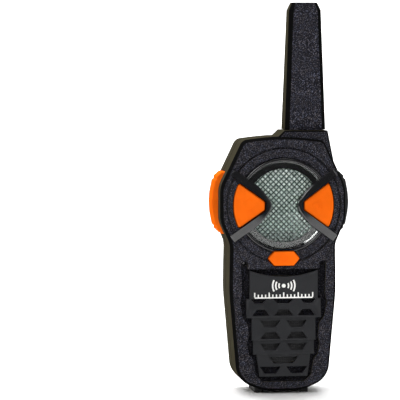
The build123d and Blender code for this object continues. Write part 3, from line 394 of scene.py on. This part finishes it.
# painted warm light on the walls of the case and aerial, olive
PAINTED_WARM_WALL_LIGHT = (0.042, 0.038, 0.025)
ORANGE = (0.80, 0.125, 0.006)
window_low, window_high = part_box("prism_plate")
cells_low, cells_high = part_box("battery_cells")
SLOTS = {
    "case_plastic": spark_plastic(
        "case_plastic", (0.010, 0.010, 0.012), (0.14, 0.14, 0.16), PAINTED_WARM_WALL_LIGHT, 0.5, painted_recess_shade=RECESS_SHADE_DEPTHS,
    ),
    "antenna_rubber": spark_plastic(
        "antenna_rubber", (0.011, 0.011, 0.014), (0.155, 0.155, 0.18), PAINTED_WARM_WALL_LIGHT, 0.5, grain_mm=0.38,
    ),
    "bezel_gloss": gloss_black(),
    "lens_clear": clear_lens(),
    "prism_silver": prism_silver(window_low.z, window_high.z, PRISM_PITCH, DIAL.z),
    "key_orange": plain_plastic("key_orange", ORANGE, 0.42, depth=0.012, Specular_IOR_Level=0.0),
    "key_rubber": plain_plastic("key_rubber", (0.008, 0.008, 0.009), 0.5, depth=0.02, Specular_IOR_Level=0.3),
    "panel_plastic": plain_plastic(
        "panel_plastic", (0.012, 0.0125, 0.0145), 0.45, depth=0.015, Specular_IOR_Level=0.25,
    ),
    "foot_rubber": plain_plastic("foot_rubber", (0.01, 0.01, 0.01), 0.8, depth=0.03),
    "white_plastic": plain_plastic("white_plastic", (0.8, 0.8, 0.77), 0.45),
    "led_clear": plain_plastic("led_clear", (0.85, 0.8, 0.45), 0.2),
    "board_green": board(),
    "shield_tin": metal("shield_tin", (0.62, 0.62, 0.6), 0.35, brush=(1, 1, 0.1)),
    "chip_black": plain_plastic("chip_black", (0.02, 0.02, 0.021), 0.6, depth=0.02),
    "switch_body": plain_plastic("switch_body", (0.03, 0.03, 0.03), 0.4),
    "switch_plunger": plain_plastic("switch_plunger", (0.65, 0.6, 0.5), 0.5),
    "cloth_black": woven("cloth_black", (0.012, 0.012, 0.013), 0.4, 0.08),
    "foam_black": foam(),
    "speaker_frame": metal("speaker_frame", (0.09, 0.09, 0.09), 0.5),
    "magnet_zinc": metal("magnet_zinc", (0.6, 0.6, 0.57), 0.3),
    "cone_paper": paper_cone(),
    "coil_copper": metal("coil_copper", (0.72, 0.36, 0.18), 0.25, brush=(1, 1, 3)),
    "cell_wrap": cell_sleeve(cells_low.z, cells_high.z),
    "spring_nickel": metal("spring_nickel", (0.66, 0.64, 0.6), 0.22),
    "screw_black": metal("screw_black", (0.09, 0.09, 0.095), 0.35),
    "pin_steel": metal("pin_steel", (0.55, 0.55, 0.55), 0.25, brush=(0.1, 1, 1)),
    "mic_can": metal("mic_can", (0.7, 0.7, 0.7), 0.3),
}


def dress(piece, material):
    piece.data.materials.clear()
    piece.data.materials.append(material)


for entry in frame["record"]["subparts"]:
    dress(nodes[entry["node"]], SLOTS[entry["material_slot"]])


# ---------------------------------------------------------------- mesh helpers
def new_piece(name, mesh, material, body):
    """A visible piece in its place, riding on a body and finished from a slot."""
    piece = bpy.data.objects.new(name, mesh)
    bpy.context.scene.collection.objects.link(piece)
    dress(piece, material)
    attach(piece, body)
    return piece


def apply_modifiers(piece):
    """Works the piece's modifiers into its mesh."""
    depsgraph = bpy.context.evaluated_depsgraph_get()
    mesh = bpy.data.meshes.new_from_object(piece.evaluated_get(depsgraph))
    piece.modifiers.clear()
    piece.data = mesh


# ---------------------------------------------------------------- diamond prisms under the lens
PRISM_DEPTH = 0.6 * MM
PRISM_SKIN = 0.05 * MM  # how far the crests stay under the plate's front
PRISM_BACK = 2 * MM  # how far the slab reaches behind the plate
DOME_DROP = 1.2 * MM  # depth of the dome's front that its radius is read from


def plate_dome():
    """Height of the plate's foremost point, and the radius of the ball that its front is part of."""
    points = [v.co for v in nodes["prism_plate"].data.vertices]
    apex = min(p.y for p in points)
    front = [p for p in points if p.y < apex + DOME_DROP]
    reach2, drop = max((p.x**2 + (p.z - DIAL.z) ** 2, p.y - apex) for p in front)
    return apex, (reach2 + drop**2) / (2 * drop)


def prism_array():
    """A closed slab whose front is a field of four-sided pyramids that follows the plate's dome."""
    apex, ball = plate_dome()
    step = PRISM_PITCH / 2
    count = ceil((window_high.z - window_low.z) / PRISM_PITCH) + 2
    behind = window_high.y + PRISM_BACK
    mesh = bmesh.new()
    fronts, backs = {}, {}

    def vertex(i, j):
        """Makes the pair of vertices at i, j: a crest where i + j is even, and a valley where it is odd."""
        if (i, j) not in fronts:
            x, z = i * step, j * step
            depth = PRISM_SKIN + (PRISM_DEPTH if (i + j) % 2 else 0)
            dome = ball - sqrt(ball**2 - x**2 - z**2)
            fronts[i, j] = mesh.verts.new((x, apex + depth + dome, DIAL.z + z))
            backs[i, j] = mesh.verts.new((x, behind, DIAL.z + z))
        return (i, j)

    walls = set()
    for i in range(-count, count + 1):
        for j in range(-count, count + 1):
            if (i + j) % 2:
                continue
            ring = [vertex(i + 1, j), vertex(i, j + 1), vertex(i - 1, j), vertex(i, j - 1)]
            crest = vertex(i, j)
            for a, b in zip(ring, ring[1:] + ring[:1]):
                mesh.faces.new((fronts[crest], fronts[a], fronts[b]))
                mesh.faces.new((backs[crest], backs[b], backs[a]))
                walls ^= {frozenset((a, b))}
    for a, b in (tuple(edge) for edge in walls):
        mesh.faces.new((fronts[a], backs[a], backs[b], fronts[b]))
    bmesh.ops.recalc_face_normals(mesh, faces=mesh.faces)
    if mesh.calc_volume(signed=True) < 0:
        bmesh.ops.reverse_faces(mesh, faces=mesh.faces)
    made = bpy.data.meshes.new("diamond_prisms")
    mesh.to_mesh(made)
    mesh.free()
    return made


def welded(name):
    """A copy of a CAD node's mesh as one closed surface."""
    mesh = bmesh.new()
    mesh.from_mesh(nodes[name].data)
    bmesh.ops.remove_doubles(mesh, verts=mesh.verts, dist=1e-6)
    made = bpy.data.meshes.new(name + "_welded")
    mesh.to_mesh(made)
    mesh.free()
    return made


def make_prisms():
    """The prism field, cut to the light plate, in the plate's place."""
    piece = new_piece("diamond_prisms", prism_array(), SLOTS["prism_silver"], "housing")
    cutter = bpy.data.objects.new("plate_cutter", welded("prism_plate"))
    bpy.context.scene.collection.objects.link(cutter)
    cut = piece.modifiers.new("cut", "BOOLEAN")
    cut.operation = "INTERSECT"
    cut.solver = "EXACT"
    cut.object = cutter
    apply_modifiers(piece)
    bpy.data.objects.remove(cutter)
    dress(piece, SLOTS["prism_silver"])
    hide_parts("prism_plate")


# ---------------------------------------------------------------- grille panel with softened edges
PANEL_EDGE = 0.16 * MM
FLAT_ENOUGH, SHARP_ENOUGH = radians(1.0), radians(25)


def make_panel():
    """The stepped grille panel, with every sharp edge rounded as a moulding's is."""
    slot = "panel_plastic"
    piece = new_piece("grille_front", welded("grille_panel"), SLOTS[slot], "housing")
    mesh = bmesh.new()
    mesh.from_mesh(piece.data)
    bmesh.ops.dissolve_limit(mesh, angle_limit=FLAT_ENOUGH, verts=mesh.verts, edges=mesh.edges)
    mesh.to_mesh(piece.data)
    mesh.free()
    bevel = piece.modifiers.new("edges", "BEVEL")
    bevel.width = PANEL_EDGE
    bevel.segments = 2
    bevel.limit_method = "ANGLE"
    bevel.angle_limit = SHARP_ENOUGH
    bevel.harden_normals = True
    apply_modifiers(piece)
    dress(piece, SLOTS[slot])
    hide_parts("grille_panel")


# ---------------------------------------------------------------- raised signs and the printed mark
def surface_at(node):
    """A function that gives the height of a CAD node's front surface at x, z."""
    mesh = nodes[node].data
    tree = BVHTree.FromPolygons([v.co for v in mesh.vertices], [p.vertices for p in mesh.polygons])

    def height(x, z):
        hit = tree.ray_cast(Vector((x, -1, z)), Vector((0, 1, 0)))
        return hit[0].y

    return height


def disc(x, z, radius, steps=24):
    """A round outline."""
    return [(x + radius * cos(tau * n / steps), z + radius * sin(tau * n / steps)) for n in range(steps)]


def arc_band(x, z, radius, width, start, end, steps=12):
    """A stretch of ring from one angle to another, in degrees."""
    turns = [radians(start + (end - start) * n / steps) for n in range(steps + 1)]
    outer = [(x + (radius + width / 2) * cos(a), z + (radius + width / 2) * sin(a)) for a in turns]
    inner = [(x + (radius - width / 2) * cos(a), z + (radius - width / 2) * sin(a)) for a in reversed(turns)]
    return outer + inner


def bar(x, z, width, height):
    """A rectangular outline."""
    return [(x - width / 2, z - height / 2), (x + width / 2, z - height / 2),
            (x + width / 2, z + height / 2), (x - width / 2, z + height / 2)]


def raised_sign(name, node, body, slot, loops, lift, sink, soft=0.0):
    """Flat shapes standing lift proud of a CAD node's front, and reaching sink into it."""
    height = surface_at(node)
    mesh = bmesh.new()
    for loop in loops:
        front = [mesh.verts.new((x, height(x, z) - lift, z)) for x, z in loop]
        back = [mesh.verts.new((x, height(x, z) + sink, z)) for x, z in loop]
        mesh.faces.new(front)
        mesh.faces.new(list(reversed(back)))
        for n in range(len(loop)):
            m = (n + 1) % len(loop)
            mesh.faces.new((front[m], front[n], back[n], back[m]))
    bmesh.ops.recalc_face_normals(mesh, faces=mesh.faces)
    bmesh.ops.triangulate(mesh, faces=[f for f in mesh.faces if len(f.verts) > 4])
    made = bpy.data.meshes.new(name)
    mesh.to_mesh(made)
    mesh.free()
    piece = new_piece(name, made, SLOTS[slot], body)
    if soft:
        bevel = piece.modifiers.new("soft", "BEVEL")
        bevel.width = soft
        bevel.segments = 2
        bevel.limit_method = "ANGLE"
        bevel.angle_limit = radians(40)
        apply_modifiers(piece)
        dress(piece, SLOTS[slot])
    return piece


SIGN_LIFT, SIGN_SINK, SIGN_SOFT = 0.16 * MM, 0.3 * MM, 0.05 * MM
SIGN_LINE = 0.4 * MM


def key_sign(name, key, loops):
    raised_sign(name, key, key, "key_orange", loops, SIGN_LIFT, SIGN_SINK, SIGN_SOFT)


def make_signs():
    """Plain raised signs: channel triangles, a sound sign and a power sign."""
    left, right = middle("left_key"), middle("right_key")
    tall, wide, apart = 1.5 * MM, 1.3 * MM, 1.6 * MM
    triangles = []
    for way in (1, -1):
        foot, tip = left.z + way * apart, left.z + way * (apart + tall)
        triangles.append([(left.x - wide, foot), (left.x + wide, foot), (left.x, tip)])
    key_sign("channel_sign", "left_key", triangles)
    x, z = right.x - 0.6 * MM, right.z
    horn = ((-2.2, -0.6), (-1.4, -0.6), (-0.3, -1.6), (-0.3, 1.6), (-1.4, 0.6), (-2.2, 0.6))
    speaker = [(x + along * MM, z + up * MM) for along, up in horn]
    waves = [arc_band(x - 0.6 * MM, z, radius * MM, SIGN_LINE, -42, 42) for radius in (1.5, 2.6)]
    key_sign("sound_sign", "right_key", [speaker, *waves])
    ring = arc_band(POWER.x, POWER.z, 1.25 * MM, SIGN_LINE, 125, 415, steps=28)
    stroke = bar(POWER.x, POWER.z + 1.0 * MM, SIGN_LINE, 1.5 * MM)
    key_sign("power_sign", "power_key", [ring, stroke])


MARK_Z, MARK_LIFT, MARK_SINK = 44.6 * MM, 0.03 * MM, 0.1 * MM
WAVE_RADII, WAVE_LINE = (2.0, 3.3, 4.6), 0.62 * MM
SCALE_DROP, SCALE_HALF, SCALE_LINE = 4.9 * MM, 12.0 * MM, 0.5 * MM
TICKS, LONG_TICK_EVERY, LONG_TICK, SHORT_TICK = 17, 4, 1.9 * MM, 1.1 * MM


def make_mark():
    """A plain printed mark on the panel: radio waves round a dot, over a tuning scale."""
    loops = [disc(0, MARK_Z, 0.8 * MM)]
    for side in (0, 180):
        for radius in WAVE_RADII:
            loops.append(arc_band(0, MARK_Z, radius * MM, WAVE_LINE, side - 30, side + 30))
    base = MARK_Z - SCALE_DROP
    loops.append(bar(0, base, 2 * SCALE_HALF, SCALE_LINE))
    for n in range(TICKS):
        x = SCALE_HALF * (2 * n / (TICKS - 1) - 1)
        tall = SHORT_TICK if n % LONG_TICK_EVERY else LONG_TICK
        loops.append(bar(x, base + (SCALE_LINE + tall) / 2, SCALE_LINE, tall))
    raised_sign("printed_mark", "grille_panel", "housing", "white_plastic", loops, MARK_LIFT, MARK_SINK)


# ---------------------------------------------------------------- floor, backdrop and lights
FLOOR_HALF, FLOOR_FRONT, SWEEP_START, SWEEP_R, WALL_HIGH = 2.2, -0.5, 0.9, 0.5, 2.4
SWEEP_STEPS = 24


def make_stage():
    """A pale floor that curves up into a backdrop."""
    profile = [(FLOOR_FRONT, 0.0), (SWEEP_START, 0.0)]
    for step in range(1, SWEEP_STEPS + 1):
        turn = tau / 4 * step / SWEEP_STEPS
        profile.append((SWEEP_START + SWEEP_R * sin(turn), SWEEP_R * (1 - cos(turn))))
    profile.append((SWEEP_START + SWEEP_R, WALL_HIGH))
    points = [(x, y, z) for y, z in profile for x in (-FLOOR_HALF, FLOOR_HALF)]
    faces = [(2 * n, 2 * n + 1, 2 * n + 3, 2 * n + 2) for n in range(len(profile) - 1)]
    mesh = bpy.data.meshes.new("studio_sweep")
    mesh.from_pydata(points, [], faces)
    mesh.shade_smooth()
    sweep = bpy.data.objects.new("studio_sweep", mesh)
    bpy.context.scene.collection.objects.link(sweep)
    dress(sweep, studio_white())


def softbox(name, place, size, power, colour=(1, 1, 1), target=(0, 0, 0.08)):
    """A soft rectangular light that looks at the target."""
    data = bpy.data.lights.new(name, "AREA")
    data.shape = "RECTANGLE"
    data.size, data.size_y = size
    data.energy = power
    data.color = colour
    light = bpy.data.objects.new(name, data)
    bpy.context.scene.collection.objects.link(light)
    light.location = place
    light.rotation_mode = "QUATERNION"
    light.rotation_quaternion = (Vector(target) - light.location).to_track_quat("-Z", "Y")


def make_lights():
    """Softboxes round the radio, and a sky that is dim in front and bright behind."""
    softbox("key", (-0.5, -0.8, 0.8), (0.45, 0.45), 7.5)
    softbox("fill", (0.7, -0.7, 0.3), (0.3, 0.7), 2.2)
    softbox("warm_side", (-0.9, 0.1, 0.3), (0.3, 0.6), 0.6, colour=(1.0, 0.86, 0.6))
    softbox("top", (0.05, 0.2, 1.1), (0.8, 0.5), 9)
    softbox("backdrop", (0, 0.55, 1.3), (1.8, 0.5), 42, target=(0, 1.4, 0.4))
    world = bpy.data.worlds.new("studio")
    world.use_nodes = True
    tree = world.node_tree
    axes = tree.nodes.new("ShaderNodeSeparateXYZ")
    tree.links.new(tree.nodes.new("ShaderNodeTexCoord").outputs["Generated"], axes.inputs["Vector"])
    ramp = tree.nodes.new("ShaderNodeMapRange")
    for socket, value in (("From Min", -0.4), ("From Max", 0.9), ("To Min", 0.10), ("To Max", 0.8)):
        ramp.inputs[socket].default_value = value
    tree.links.new(axes.outputs["Y"], ramp.inputs["Value"])
    tree.links.new(ramp.outputs["Result"], tree.nodes["Background"].inputs["Strength"])
    tree.nodes["Background"].inputs["Color"].default_value = (1, 1, 1, 1)
    bpy.context.scene.world = world


make_prisms()
make_panel()
make_signs()
make_mark()
make_camera()
make_stage()
make_lights()
bpy.context.scene.view_settings.view_transform = "Standard"
